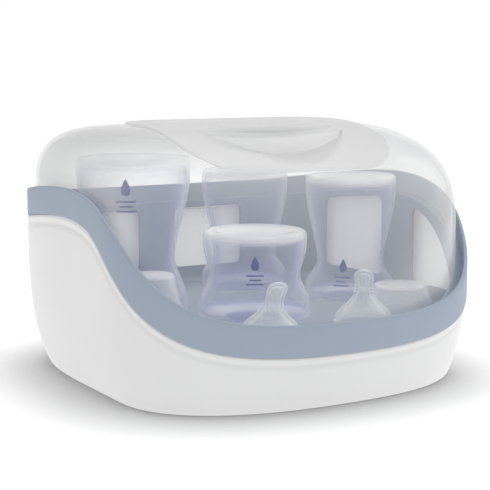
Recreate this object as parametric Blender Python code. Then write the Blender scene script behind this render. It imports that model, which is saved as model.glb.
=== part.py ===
"""Microwave steam steriliser for baby bottles: base tub, basket, domed lid and its load.

Millimetres in the dimensions below, metres in the scene. +Z up, front towards -Y,
origin on the floor under the middle of the plan.
"""
import bpy
import bmesh
import math
import numpy as np

MM = 0.001

# ---- plan outline (widest line at y = MID_Y) ----
HALF_W = 135.0          # half width
FRONT = 86.3            # widest line to the front
BACK = 179.9            # widest line to the back
MID_Y = (FRONT - BACK) / 2.0
FRONT_POW = 2.39        # bowed front
BACK_POW = 4.6          # boxy back
COLS = 72               # stations round the outline

# ---- swept rim: low at the front, high behind ----
RIM_LOW = 48.0
RIM_HIGH = 134.0
RIM_MID = -84.5
RIM_SOFT = 19.3
BACK_DROP = 15.7
BAND = 19.1             # height of the band, square to its edge
GAP = 0.3

# ---- base tub ----
TUCK_X, TUCK_F, TUCK_B = 13.7, 10.0, 10.5
TUCK_TOP = 107.5
TUCK_POW = 3.65
BASE_WALL = 2.6
BASE_FLOOR = 3.0
FOOT_ROUND = 2.0
FLOOR_IN = 8.6          # where the floor plate meets the wall
TOUCH = 0.02            # between pieces of one moulding

# ---- basket ----
SKIN = 2.6              # band skin
STEP_OUT = 8.6          # lower wall, outer face
STEP_IN = 10.6          # lower wall, inner face
TRAY_TOP = 42.0
TRAY_T = 2.5
LEDGE_LOW = 44.0
LEDGE_RISE = 0.9475
SILL = 54.0
WEB = 2.2               # thickness of the ledge
WALL_GAP = 0.15         # under the ledge, whose faces twist a little
WINDOW_CX = -7.0        # middle of the two back windows
WINDOW_TOP = (-1.5, 0.5, 1.0)  # under the seam line: back, side, front
NECK_HOLE_R = 22.0

# ---- lid ----
LID_SIDE, LID_FRONT, LID_BACK = 5.0, 6.5, 4.8
LID_FRONT_POW, LID_BACK_POW = 2.2, 4.9
LID_TOP = 171.2
LID_CREST_Y = 10.0
LID_FALL_F, LID_FALL_B = 2.48, 3.7
LID_SIDE_F, LID_SIDE_B = 6.0, 9.0
LID_ZERO = 45.0
LID_WALL = 1.8
LID_GAP = 0.9
PANEL_X, PANEL_Y = 79.0, 67.5
PANEL_CX, PANEL_MID = -5.0, -22.5
PANEL_ROUND = 36.0
PANEL_POW = 5.0         # opening under the panel
PANEL_T = 1.4
PANEL_LIFT = 0.8
GRIP_X, GRIP_Y = 53.0, -51.0
SLOT_Y, SLOT_HALF, SLOT_DEEP = -35.0, 12.5, 5.0
BOWL_LONG, BOWL_DEEP = 35.0, 9.0
OPENING_IN = 4.5        # panel overlap on the shell

# ---- bottles: x, y, top, base r, waist z, waist r, shoulder r ----
BOTTLES = {
    "bottle_large": (-78.0, 17.0, 150.5, 38.5, 81.0, 27.4, 36.5),
    "bottle_medium_back": (48.0, 83.0, 132.3, 32.8, 68.0, 23.8, 33.0),
    "bottle_medium_side": (90.0, 2.0, 132.3, 32.8, 68.0, 23.8, 33.0),
    "bottle_small": (-12.0, -32.0, 102.0, 35.0, 71.0, 30.7, 38.0),
}
BOTTLE_WALL = 1.6
NECK_R = 20.5
NECK_END = 16.0
SEAT = TRAY_TOP + GAP
# ---- teats and caps: x, y, top, foot r, lean ----
TEATS = {"teat_leaning": (-36.0, -91.0, 76.0, 21.0, 0.30),
         "teat_ribbed": (41.0, -84.0, 77.5, 20.0, 0.0)}
CAPS = {"cap_tall": (-95.0, -43.0, 80.0, 14.5, 22.5),
        "cap_short": (88.0, -62.0, 61.0, 18.5, 24.0)}

BLUE = (0.325, 0.375, 0.455, 1.0)
WHITE = (0.80, 0.80, 0.80, 1.0)
CLEAR = (0.86, 0.88, 0.89, 1.0)
FROST = (0.72, 0.73, 0.74, 1.0)
SILICONE = (0.78, 0.80, 0.80, 1.0)


# ---------------------------------------------------------------- shared helpers
def clear_scene():
    for ob in list(bpy.data.objects):
        bpy.data.objects.remove(ob, do_unlink=True)


def material(name, colour, rough, clear=0.0):
    mat = bpy.data.materials.new(name)
    mat.use_nodes = True
    node = mat.node_tree.nodes["Principled BSDF"]
    node.inputs["Base Color"].default_value = colour
    node.inputs["Roughness"].default_value = rough
    node.inputs["Transmission Weight"].default_value = clear
    node.inputs["Alpha"].default_value = 1.0 if clear == 0.0 else 0.35
    return mat


def group(name, parent=None):
    """Empty on a lift axis, which carries the pieces that lift together."""
    ob = bpy.data.objects.new(name, None)
    bpy.context.collection.objects.link(ob)
    ob.parent = parent
    return ob


def finish(name, bm, mat, smooth=True):
    bmesh.ops.remove_doubles(bm, verts=bm.verts, dist=1e-7)
    bmesh.ops.recalc_face_normals(bm, faces=bm.faces)
    mesh = bpy.data.meshes.new(name)
    bm.to_mesh(mesh)
    bm.free()
    if smooth:
        mesh.shade_smooth()
        mesh.set_sharp_from_angle(angle=math.radians(35.0))
    mesh.materials.append(mat)
    ob = bpy.data.objects.new(name, mesh)
    bpy.context.collection.objects.link(ob)
    return ob


def solid(name, verts, faces, mat):
    bm = bmesh.new()
    made = [bm.verts.new([float(c) * MM for c in v]) for v in verts]
    for face in faces:
        bm.faces.new([made[k] for k in face])
    return finish(name, bm, mat)


def loop_faces(rows, cols, wrap_rows):
    """Quads over a grid of rows of points that close round the columns."""
    faces = []
    last = rows if wrap_rows else rows - 1
    for r in range(last):
        for c in range(cols):
            a, b = r * cols + c, r * cols + (c + 1) % cols
            d, e = ((r + 1) % rows) * cols + c, ((r + 1) % rows) * cols + (c + 1) % cols
            faces.append((a, b, e, d))
    return faces


def stack(name, rows, mat):
    """Body from closed rings, first and last ring capped flat."""
    cols = len(rows[0])
    verts = [p for row in rows for p in row]
    faces = loop_faces(len(rows), cols, False)
    faces.append(tuple(range(cols)))
    faces.append(tuple((len(rows) - 1) * cols + c for c in range(cols)))
    return solid(name, verts, faces, mat)


def cut(target, cutter):
    mod = target.modifiers.new("cut", 'BOOLEAN')
    mod.operation = 'DIFFERENCE'
    mod.solver = 'EXACT'
    mod.object = cutter
    cutter.hide_render = True
    cutter.display_type = 'WIRE'


def oval(half, front, back, pow_f, pow_b, n, mid=MID_Y):
    """Closed outline of n points an equal distance apart."""
    ang = np.linspace(0.0, 2.0 * math.pi, 2881)
    c, s = np.cos(ang), np.sin(ang)
    pw = np.where(s < 0, pow_f, pow_b)
    x = half * np.sign(c) * np.abs(c) ** (2.0 / pw)
    y = np.where(s < 0, front, back) * np.sign(s) * np.abs(s) ** (2.0 / pw) + mid
    run = np.concatenate([[0.0], np.cumsum(np.hypot(np.diff(x), np.diff(y)))])
    at = np.linspace(0.0, run[-1], n + 1)[:-1]
    return np.stack([np.interp(at, run, x), np.interp(at, run, y)], 1)


def inward(pts):
    d = np.roll(pts, -1, 0) - np.roll(pts, 1, 0)
    nrm = np.stack([-d[:, 1], d[:, 0]], 1)
    return nrm / np.linalg.norm(nrm, axis=1)[:, None]


def ring(pts, z):
    return [(p[0], p[1], h) for p, h in zip(pts, np.broadcast_to(z, len(pts)))]


# ---------------------------------------------------------------- swept heights
def rim(y):
    y = np.asarray(y, float)
    rise = 1.0 / (1.0 + np.exp(-(y - RIM_MID) / RIM_SOFT))
    back = np.clip((y + 1.8) / 135.0, 0.0, None) ** 1.5
    return RIM_LOW + (RIM_HIGH - RIM_LOW) * rise - BACK_DROP * back


def ledge(y):
    low = float(rim(MID_Y - FRONT))
    return LEDGE_LOW + (rim(y) - low) * LEDGE_RISE


def seam(pts):
    """Height of the band's lower edge: a constant distance square to the rim."""
    step = np.linalg.norm(np.roll(pts, -1, 0) - pts, axis=1)
    run = np.concatenate([[0.0], np.cumsum(step)])
    total = run[-1]
    z = rim(pts[:, 1])
    slope = (np.roll(z, -1) - np.roll(z, 1)) / (np.roll(step, 1) + step)
    tilt = np.arctan(slope)
    s = run[:-1] + BAND * np.sin(tilt)
    h = z - BAND * np.cos(tilt)
    s3 = np.concatenate([s - total, s, s + total])
    order = np.argsort(s3)
    return np.interp(run[:-1], s3[order], np.concatenate([h, h, h])[order])


def tuck(pts, z):
    """Outline drawn in towards the foot."""
    t = np.clip(1.0 - np.asarray(z, float) / TUCK_TOP, 0.0, 1.0) ** TUCK_POW
    t = np.broadcast_to(t, len(pts))
    x = pts[:, 0] * (HALF_W - TUCK_X * t) / HALF_W
    yf = pts[:, 1] - MID_Y
    ky = np.where(yf < 0, (FRONT - TUCK_F * t) / FRONT, (BACK - TUCK_B * t) / BACK)
    return np.stack([x, yf * ky + MID_Y], 1)


# ---------------------------------------------------------------- base and basket
def hoop(name, rows, mat):
    """Ring-shaped body from closed rings that run once round its section."""
    cols = len(rows[0])
    return solid(name, [p for row in rows for p in row], loop_faces(len(rows), cols, True), mat)


def base_wall(mat):
    """Wall of the tub with its rounded foot, one moulding with the floor plate."""
    pts = oval(HALF_W, FRONT, BACK, FRONT_POW, BACK_POW, COLS)
    nrm = inward(pts)
    top = seam(pts) - GAP
    rows = [ring(tuck(pts, 0.0) + nrm * FOOT_ROUND, 0.0)]
    rows += [ring(tuck(pts, z * top), z * top) for z in (0.06, 0.15, 0.3, 0.6, 1.0)]
    for k in (1.0, 0.6, 0.3):
        z = BASE_FLOOR + (top - BASE_FLOOR) * k
        rows.append(ring(tuck(pts, z) + nrm * BASE_WALL, z))
    rows.append(ring(tuck(pts, BASE_FLOOR + 4.0) + nrm * (BASE_WALL + 1.5), BASE_FLOOR + 4.0))
    rows.append(ring(tuck(pts, 0.0) + nrm * FLOOR_IN, BASE_FLOOR))
    rows.append(ring(tuck(pts, 0.0) + nrm * FLOOR_IN, 0.0))
    return hoop("base_wall", rows, mat)


def base_floor(mat):
    pts = oval(HALF_W, FRONT, BACK, FRONT_POW, BACK_POW, COLS)
    edge = tuck(pts, 0.0) + inward(pts) * (FLOOR_IN + TOUCH)
    return stack("base_floor", [ring(edge, 0.0), ring(edge, BASE_FLOOR)], mat)


def window_block(pts, keep, top_drop):
    """Curved block through the lower wall between chosen stations."""
    nrm = inward(pts)
    edge = seam(pts) - top_drop
    idx = [i for i in range(len(pts)) if keep(pts[i])]
    start = next(i for i in idx if (i - 1) % len(pts) not in idx)
    run = []
    while start in idx:
        run.append(start)
        start = (start + 1) % len(pts)
    verts, faces = [], []
    for i in run:
        for inset, z in ((5.0, SILL), (5.0, edge[i]), (15.0, edge[i]), (15.0, SILL)):
            p = pts[i] + nrm[i] * inset
            verts.append((p[0], p[1], max(z, SILL)))
    for k in range(len(run) - 1):
        for j in range(4):
            a, b = 4 * k + j, 4 * k + (j + 1) % 4
            faces.append((a, b, b + 4, a + 4))
    faces.append((0, 1, 2, 3))
    faces.append(tuple(4 * (len(run) - 1) + j for j in range(4)))
    return verts, faces


def join_parts(name, parts, mat):
    verts, faces = [], []
    for v, f in parts:
        faces += [tuple(i + len(verts) for i in face) for face in f]
        verts += v
    return solid(name, verts, faces, mat)


def post(x, y, r, z0, z1, n):
    a = [2.0 * math.pi * (k + 0.5) / n for k in range(n)]
    verts = [(x + r * math.cos(t), y + r * math.sin(t), z) for z in (z0, z1) for t in a]
    faces = [(k, (k + 1) % n, n + (k + 1) % n, n + k) for k in range(n)]
    faces += [tuple(range(n)), tuple(range(n, 2 * n))]
    return verts, faces


def web_low(pts):
    """Under side of the ledge that the lid stands on."""
    return np.maximum(ledge(pts[:, 1]) - WEB, TRAY_TOP + 0.4)


def basket_rim(mat):
    """Outer band of the basket with the ledge inside it."""
    pts = oval(HALF_W, FRONT, BACK, FRONT_POW, BACK_POW, COLS)
    nrm = inward(pts)
    low = seam(pts)
    skin, inn = pts + nrm * SKIN, pts + nrm * STEP_IN
    rows = [ring(skin, low), ring(pts, low), ring(pts, rim(pts[:, 1])), ring(skin, rim(skin[:, 1])),
            ring(skin, ledge(skin[:, 1])), ring(inn, ledge(inn[:, 1])), ring(inn, web_low(inn)),
            ring(skin, web_low(skin))]
    return hoop("basket_rim", rows, mat)


def basket_wall(mat):
    """Lower wall of the basket, with three windows on each side of the middle."""
    pts = oval(HALF_W, FRONT, BACK, FRONT_POW, BACK_POW, COLS)
    nrm = inward(pts)
    out, inn = pts + nrm * STEP_OUT, pts + nrm * STEP_IN
    z0 = TRAY_TOP + TOUCH
    share = (STEP_OUT - SKIN) / (STEP_IN - SKIN)
    under = web_low(pts + nrm * SKIN) * (1.0 - share) + web_low(inn) * share
    under = np.minimum(under, web_low(out)) - WALL_GAP
    rows = [ring(out, z0), ring(out, under), ring(inn, web_low(inn) - WALL_GAP), ring(inn, z0)]
    body = hoop("basket_wall", rows, mat)
    fine = oval(HALF_W, FRONT, BACK, FRONT_POW, BACK_POW, 3 * COLS)
    blocks = []
    for side in (-1.0, 1.0):
        blocks.append(window_block(fine, lambda p: 15 < (p[0] - WINDOW_CX) * side < 75
                                   and p[1] > 110, WINDOW_TOP[0]))
        blocks.append(window_block(fine, lambda p: p[0] * side > 80 and 10 < p[1] < 80, WINDOW_TOP[1]))
        blocks.append(window_block(fine, lambda p: p[0] * side > 80 and -88 < p[1] < -26, WINDOW_TOP[2]))
    cut(body, join_parts("cut_windows", blocks, mat))
    return body


def basket_tray(mat):
    """Floor of the basket, with a hole for each bottle neck."""
    pts = oval(HALF_W, FRONT, BACK, FRONT_POW, BACK_POW, COLS)
    edge = pts + inward(pts) * STEP_OUT
    body = stack("basket_tray", [ring(edge, TRAY_TOP - TRAY_T), ring(edge, TRAY_TOP)], mat)
    z0, z1 = TRAY_TOP - TRAY_T - 2.0, TRAY_TOP + 2.0
    holes = [post(b[0], b[1], NECK_HOLE_R, z0, z1, 28) for b in BOTTLES.values()]
    cut(body, join_parts("cut_tray", holes, mat))
    return body


# ---------------------------------------------------------------- lid
def lid_height(x, y, inset):
    """Height of the dome over a plan point; inset moves the whole skin inwards."""
    y_f, y_b = MID_Y - FRONT + LID_FRONT + inset, MID_Y + BACK - LID_BACK - inset
    ahead = y < LID_CREST_Y
    t = np.where(ahead, (LID_CREST_Y - y) / (LID_CREST_Y - y_f), (y - LID_CREST_Y) / (y_b - LID_CREST_Y))
    m = np.where(ahead, LID_FALL_F, LID_FALL_B)
    crest = (LID_TOP - inset - LID_ZERO) * (1.0 - np.clip(t, 0, 1) ** m) ** (1.0 / m)
    yf = y - MID_Y
    pw = np.where(yf < 0, LID_FRONT_POW, LID_BACK_POW)
    reach = np.where(yf < 0, FRONT - LID_FRONT - inset, BACK - LID_BACK - inset)
    half = (HALF_W - LID_SIDE - inset) * (1.0 - np.clip(np.abs(yf) / reach, 0, 1) ** pw) ** (1.0 / pw)
    w = np.clip((y - y_f) / (y_b - y_f), 0, 1)
    ms = LID_SIDE_F + (LID_SIDE_B - LID_SIDE_F) * w
    u = np.clip(np.abs(x) / (half + 1e-9), 0, 1)
    return LID_ZERO + crest * (1.0 - u ** ms) ** (1.0 / ms)


def lid_skin(inset, rings):
    """Rings of dome points from the lower edge up to the crest."""
    pts = oval(HALF_W - LID_SIDE - inset, FRONT - LID_FRONT - inset, BACK - LID_BACK - inset,
               LID_FRONT_POW, LID_BACK_POW, COLS)
    centre = np.array([0.0, LID_CREST_Y])
    rho = 1.0 - np.linspace(0.0, 1.0, 600) ** 2.0
    foot = ledge(pts[:, 1]) + LID_GAP
    cols = []
    for p, z0 in zip(pts, foot):
        line = centre + (p - centre) * rho[:, None]
        z = lid_height(line[:, 0], line[:, 1], inset)
        k = int(np.argmax(z > z0))
        xyz = np.column_stack([line, z])[k:]
        xyz = np.vstack([[xyz[0, 0], xyz[0, 1], z0], xyz])
        run = np.concatenate([[0.0], np.cumsum(np.linalg.norm(np.diff(xyz, axis=0), axis=1))])
        at = run[-1] * np.linspace(0.0, 1.0, rings + 1)[:-1]
        cols.append([[np.interp(a, run, xyz[:, j]) for j in range(3)] for a in at])
    return [[cols[c][r] for c in range(len(cols))] for r in range(rings)]


def lid_shell(mat):
    outer, inner = lid_skin(0.0, 9), lid_skin(LID_WALL, 8)
    n = COLS
    rows = inner[::-1] + outer
    verts = [p for row in rows for p in row]
    faces = loop_faces(len(rows), n, False)
    for first, top in ((0, LID_TOP - LID_WALL), ((len(rows) - 1) * n, LID_TOP)):
        verts.append((0.0, LID_CREST_Y, top))
        faces += [(first + c, first + (c + 1) % n, len(verts) - 1) for c in range(n)]
    body = solid("lid_shell", verts, faces, mat)
    pts = panel_outline(OPENING_IN, 40)
    z0, z1 = 100.0, 200.0
    block = stack("cut_lid", [ring(pts, z0), ring(pts, z1)], mat)
    cut(body, block)
    return body


def panel_outline(inset, n):
    hx, hy = PANEL_X - inset, PANEL_Y - inset
    return oval(hx, hy, hy, PANEL_POW, PANEL_POW, n, PANEL_MID) + np.array([PANEL_CX, 0.0])


def scoop(x, y):
    """Finger recesses either side of the grip ridge."""
    across = np.clip(1.0 - (x / GRIP_X) ** 2, 0.0, 1.0)
    slot = np.clip(1.0 - ((y - SLOT_Y) / (SLOT_HALF * across + 1e-6)) ** 2, 0.0, 1.0)
    t = (GRIP_Y - 5.0 * across + 5.0 - y) / (BOWL_LONG * across + 1e-6)
    fade = np.clip(t / 0.25, 0, 1) * np.clip((1.0 - t) / 0.75, 0, 1) ** 0.8
    bowl = np.where((t > 0) & (t < 1), fade, 0.0)
    return (SLOT_DEEP * slot + BOWL_DEEP * bowl) * across ** 0.5


def lid_panel(mat):
    """Curved plate over the opening: a grid of stations with rounded corners."""
    nx, ny = 16, 26
    r = PANEL_ROUND
    v = np.linspace(-1.0, 1.0, ny + 1)
    y = PANEL_MID + PANEL_Y * np.sign(v) * (1.0 - (1.0 - np.abs(v)) ** 1.15)
    d = np.clip(np.abs(y - PANEL_MID) - (PANEL_Y - r), 0.0, r)
    half = PANEL_X - r + np.sqrt(r * r - d * d)
    u = np.sin(np.linspace(-0.5 * math.pi, 0.5 * math.pi, nx + 1) * 0.8) / math.sin(0.4 * math.pi)
    verts = []
    for lift in (PANEL_LIFT, PANEL_LIFT + PANEL_T):
        for yy, h in zip(y, half):
            x = PANEL_CX + u * h
            z = lid_height(x, yy + 0.0 * x, 0.0) + lift - scoop(x - PANEL_CX, yy)
            verts += [(a, yy, c) for a, c in zip(x, z)]
    w, n = nx + 1, (nx + 1) * (ny + 1)
    cells = [(j * w + i, j * w + i + 1, j * w + w + i + 1, j * w + w + i)
             for j in range(ny) for i in range(nx)]
    faces = [c[::-1] for c in cells] + [tuple(k + n for k in c) for c in cells]
    rim_ids = list(range(nx)) + [j * w + nx for j in range(ny)]
    rim_ids += [ny * w + nx - i for i in range(nx)] + [(ny - j) * w for j in range(ny)]
    for k, a in enumerate(rim_ids):
        b = rim_ids[(k + 1) % len(rim_ids)]
        faces.append((a, b, b + n, a + n))
    return solid("lid_grip_panel", verts, faces, mat)


# ---------------------------------------------------------------- load
def turned(name, x, y, profile, mat, steps, lean=0.0, lean_z=0.0):
    """Profile of (r, z) points spun round the piece's own upright axis."""
    bm = bmesh.new()
    line = [bm.verts.new((r * MM, 0.0, z * MM)) for r, z in profile]
    edges = [bm.edges.new(pair) for pair in zip(line, line[1:])]
    bmesh.ops.spin(bm, geom=line + edges, cent=(0, 0, 0), axis=(0, 0, 1),
                   angle=2.0 * math.pi, steps=steps, use_merge=True)
    for v in bm.verts:
        v.co.x += lean * max(v.co.z - lean_z * MM, 0.0)
    ob = finish(name, bm, mat)
    ob.location = (x * MM, y * MM, 0.0)
    return ob


def bottle_side(z, top, base_r, waist_z, waist_r, shoulder_r):
    if z > waist_z:
        k = (z - waist_z) / (top - 8.0 - waist_z)
        return waist_r + (base_r - waist_r) * math.sin(0.5 * math.pi * min(k, 1.0)) ** 1.6
    k = (waist_z - z) / (waist_z - 50.0)
    return waist_r + (shoulder_r - waist_r) * math.sin(0.5 * math.pi * min(k, 1.0)) ** 1.6


def bottle(name, dims, mat):
    x, y, top, base_r, waist_z, waist_r, shoulder_r = dims
    w = BOTTLE_WALL
    levels = list(np.linspace(top - 8.0, 50.0, 7))
    shape = (top, base_r, waist_z, waist_r, shoulder_r)
    outer = [(0.0, top - 5.0), (base_r * 0.5, top - 4.4), (base_r * 0.8, top - 0.6),
             (base_r * 0.9, top), (base_r * 0.975, top - 2.5)]
    outer += [(bottle_side(z, *shape), z) for z in levels]
    outer += [(shoulder_r - 1.2, SEAT + 2.6), (shoulder_r - 5.0, SEAT), (NECK_R + 1.0, SEAT),
              (NECK_R, SEAT - 1.0), (NECK_R, NECK_END)]
    inner = [(NECK_R - w, NECK_END), (NECK_R - w, SEAT + w), (shoulder_r - 5.6, SEAT + w),
             (shoulder_r - 1.2 - w, SEAT + 3.6)]
    inner += [(bottle_side(z, *shape) - w, z) for z in levels[::-1]]
    inner += [(base_r * 0.9 - w, top - 4.0), (base_r * 0.8, top - 0.8 - w),
              (base_r * 0.5, top - 4.6 - w), (0.0, top - 5.0 - w)]
    return turned(name, x, y, outer + inner, mat, 20)


def teat(name, dims, mat, ribs):
    x, y, top, foot, lean = dims
    z0 = SEAT
    h = top - z0
    w = 1.8
    tip = 6.6
    outer = [(0.0, top), (tip * 0.55, top - 0.9), (tip * 0.9, top - 2.8), (tip, top - 5.2)]
    outer += [(tip - 0.5, top - 9.0)]
    if ribs:
        outer += [(tip + 0.9, top - 10.0), (tip + 0.2, top - 11.0), (tip + 1.3, top - 12.0)]
    outer += [(tip + 1.6, top - 14.0), (foot * 0.55, z0 + h * 0.44), (foot * 0.78, z0 + h * 0.30),
              (foot * 0.93, z0 + h * 0.15), (foot * 0.96, z0 + 2.0), (foot, z0 + 1.6), (foot, z0)]
    inner = [(foot * 0.96 - w, z0), (foot * 0.93 - w, z0 + h * 0.12), (foot * 0.78 - w, z0 + h * 0.26),
             (foot * 0.55 - w, z0 + h * 0.38), (tip - w, z0 + h * 0.52), (tip - w - 0.6, top - 9.0),
             (tip - w, top - 5.2), (tip * 0.5, top - 3.2), (0.0, top - 2.6)]
    return turned(name, x, y, outer + inner, mat, 16, lean, z0 + 0.35 * h)


def cap(name, dims, mat):
    x, y, top, r_top, r_foot = dims
    w = 1.5
    z0 = SEAT
    h = top - z0
    outer = [(0.0, top), (r_top * 0.8, top - 0.3), (r_top * 0.96, top - 1.6), (r_top + 0.6, top - 4.0)]
    outer += [(r_top + (r_foot - r_top) * k ** 0.8, top - 4.0 - (h - 4.0) * k) for k in (0.35, 0.7, 1.0)]
    inner = [(r_top - w + (r_foot - r_top) * k ** 0.8, top - 4.0 - (h - 4.0) * k) for k in (1.0, 0.7, 0.35)]
    inner += [(r_top + 0.6 - w, top - 4.4), (r_top * 0.75, top - 0.5 - w), (0.0, top - w)]
    return turned(name, x, y, outer + inner, mat, 20)


def carry(parent, *pieces):
    for ob in pieces:
        ob.parent = parent


def build():
    clear_scene()
    stand = group("stand")
    basket_lift = group("basket_lift", stand)
    lid_lift = group("lid_lift", basket_lift)
    white, blue = material("white_pp", WHITE, 0.3), material("blue_grey_pp", BLUE, 0.45)
    carry(stand, base_wall(white), base_floor(white))
    carry(basket_lift, basket_rim(blue), basket_wall(blue), basket_tray(blue))
    carry(lid_lift, lid_shell(material("clear_pp", CLEAR, 0.08, 0.9)))
    carry(lid_lift, lid_panel(material("satin_pp", FROST, 0.4, 0.3)))
    for name, dims in BOTTLES.items():
        carry(basket_lift, bottle(name, dims, material(name + "_pp", CLEAR, 0.1, 0.9)))
    for name, dims in TEATS.items():
        mat = material(name + "_silicone", SILICONE, 0.3, 0.6)
        carry(basket_lift, teat(name, dims, mat, name.endswith("ribbed")))
    for name, dims in CAPS.items():
        carry(basket_lift, cap(name, dims, material(name + "_pp", CLEAR, 0.12, 0.8)))


build()
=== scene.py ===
"""Microwave steam steriliser for baby bottles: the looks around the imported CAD.

Lengths in this file are millimetres in the row frame until mesh_piece() writes them in metres.
The shape formulas are the CAD source's own, so the finer meshes lie on its solids.
"""
import math

import bmesh
import bpy
import numpy as np
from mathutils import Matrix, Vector

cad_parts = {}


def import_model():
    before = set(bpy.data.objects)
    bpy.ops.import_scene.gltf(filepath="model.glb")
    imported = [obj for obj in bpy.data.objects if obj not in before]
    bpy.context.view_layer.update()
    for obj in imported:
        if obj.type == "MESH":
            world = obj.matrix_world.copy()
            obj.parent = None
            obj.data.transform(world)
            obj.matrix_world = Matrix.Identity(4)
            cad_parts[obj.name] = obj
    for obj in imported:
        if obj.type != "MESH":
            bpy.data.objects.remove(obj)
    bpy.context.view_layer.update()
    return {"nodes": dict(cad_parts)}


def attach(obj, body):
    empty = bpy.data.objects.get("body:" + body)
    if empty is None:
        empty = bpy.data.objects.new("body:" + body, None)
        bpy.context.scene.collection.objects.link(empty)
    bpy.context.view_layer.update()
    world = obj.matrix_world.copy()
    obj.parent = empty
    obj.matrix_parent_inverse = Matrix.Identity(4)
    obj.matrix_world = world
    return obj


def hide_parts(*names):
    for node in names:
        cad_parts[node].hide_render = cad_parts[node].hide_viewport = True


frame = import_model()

MM = 0.001

# ---- plan outline and swept heights, as in the CAD ----
HALF_W, FRONT, BACK = 135.0, 86.3, 179.9
MID_Y = (FRONT - BACK) / 2.0
FRONT_POW, BACK_POW = 2.39, 4.6
COLS = 360
RIM_LOW, RIM_HIGH, RIM_MID, RIM_SOFT, BACK_DROP = 48.0, 134.0, -84.5, 19.3, 15.7
BAND, GAP = 19.1, 0.3
TUCK_X, TUCK_F, TUCK_B, TUCK_TOP, TUCK_POW = 13.7, 10.0, 10.5, 107.5, 3.65
BASE_WALL, BASE_FLOOR = 2.6, 3.0
SKIN, STEP_OUT, STEP_IN = 2.6, 8.6, 10.6
TRAY_TOP, TRAY_T = 42.0, 2.5
LEDGE_LOW, LEDGE_RISE, WEB = 44.0, 0.9475, 2.2
SILL, NECK_HOLE_R = 54.0, 22.0
WINDOW_CX, WINDOW_TOP, WINDOW_ROUND = -7.0, (-1.5, 0.5, 1.0), 5.0

# ---- lid ----
LID_SIDE, LID_FRONT, LID_BACK = 5.0, 6.5, 4.8
LID_FRONT_POW, LID_BACK_POW = 2.2, 4.9
LID_TOP, LID_CREST_Y, LID_FALL_F, LID_FALL_B = 171.2, 10.0, 2.48, 3.7
LID_SIDE_F, LID_SIDE_B, LID_ZERO, LID_WALL, LID_GAP = 6.0, 9.0, 45.0, 1.8, 0.9
PANEL_X, PANEL_Y, PANEL_ROUND = 79.0, 67.5, 36.0
PANEL_AT = np.array([-5.0, -22.5])
PANEL_POW, PANEL_T, PANEL_LIFT, OPENING_IN = 5.0, 1.4, 0.8, 4.5
GRIP_X, GRIP_Y = 53.0, -51.0
SLOT_Y, SLOT_HALF, SLOT_DEEP = -35.0, 12.5, 5.0
BOWL_LONG, BOWL_DEEP = 35.0, 9.0

# ---- load: x, y, top, base r, waist z, waist r, shoulder r ----
BOTTLES = {
    "bottle_large": (-78.0, 17.0, 150.5, 38.5, 81.0, 27.4, 36.5),
    "bottle_medium_back": (48.0, 83.0, 132.3, 32.8, 68.0, 23.8, 33.0),
    "bottle_medium_side": (90.0, 2.0, 132.3, 32.8, 68.0, 23.8, 33.0),
    "bottle_small": (-12.0, -32.0, 102.0, 35.0, 71.0, 30.7, 38.0),
}
BOTTLE_WALL, NECK_R, NECK_END = 1.6, 20.5, 16.0
SEAT = TRAY_TOP + GAP
TEATS = {"teat_leaning": (-36.0, -91.0, 76.0, 21.0, 0.30),
         "teat_ribbed": (41.0, -84.0, 77.5, 20.0, 0.0)}
CAPS = {"cap_tall": (-95.0, -43.0, 80.0, 14.5, 22.5),
        "cap_short": (88.0, -62.0, 61.0, 18.5, 24.0)}
THREAD_PITCH, THREAD_TALL = 5.0, 1.1
# marks: angle to the right of the camera's side in degrees, height of the middle, size
MARKS = {"bottle_large": (-3.0, 131.0, 1.25), "bottle_medium_side": (-16.0, 67.0, 1.05),
         "bottle_small": (0.0, 82.0, 1.1)}

# ---- camera, from the photograph's viewpoint, in metres ----
CAMERA_AT = (-0.4754, -0.8031, 0.2149)
CAMERA_TO = (-0.0210, -0.0344, 0.0922)
LENS, SENSOR = 99.25, 36.0
FACING = math.atan2(CAMERA_AT[1], CAMERA_AT[0])


# ---- material settings; places in metres ----
PAINTED_SIDE_VEIL = (0.72, 0.0, 0.09)      # painted side light: share left of the veil towards the lid's right, from x, to x
PAINTED_SIDE_TONE = (-0.07, 0.08)          # painted side shade: from the grey left to the lighter right border colour, from x, to x
DAYLIGHT = 0.16                     # glow of the tub's lining, for light through its white wall


# ---------------------------------------------------------------- materials
def colour(r, g, b):
    return (r, g, b, 1.0)


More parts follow.
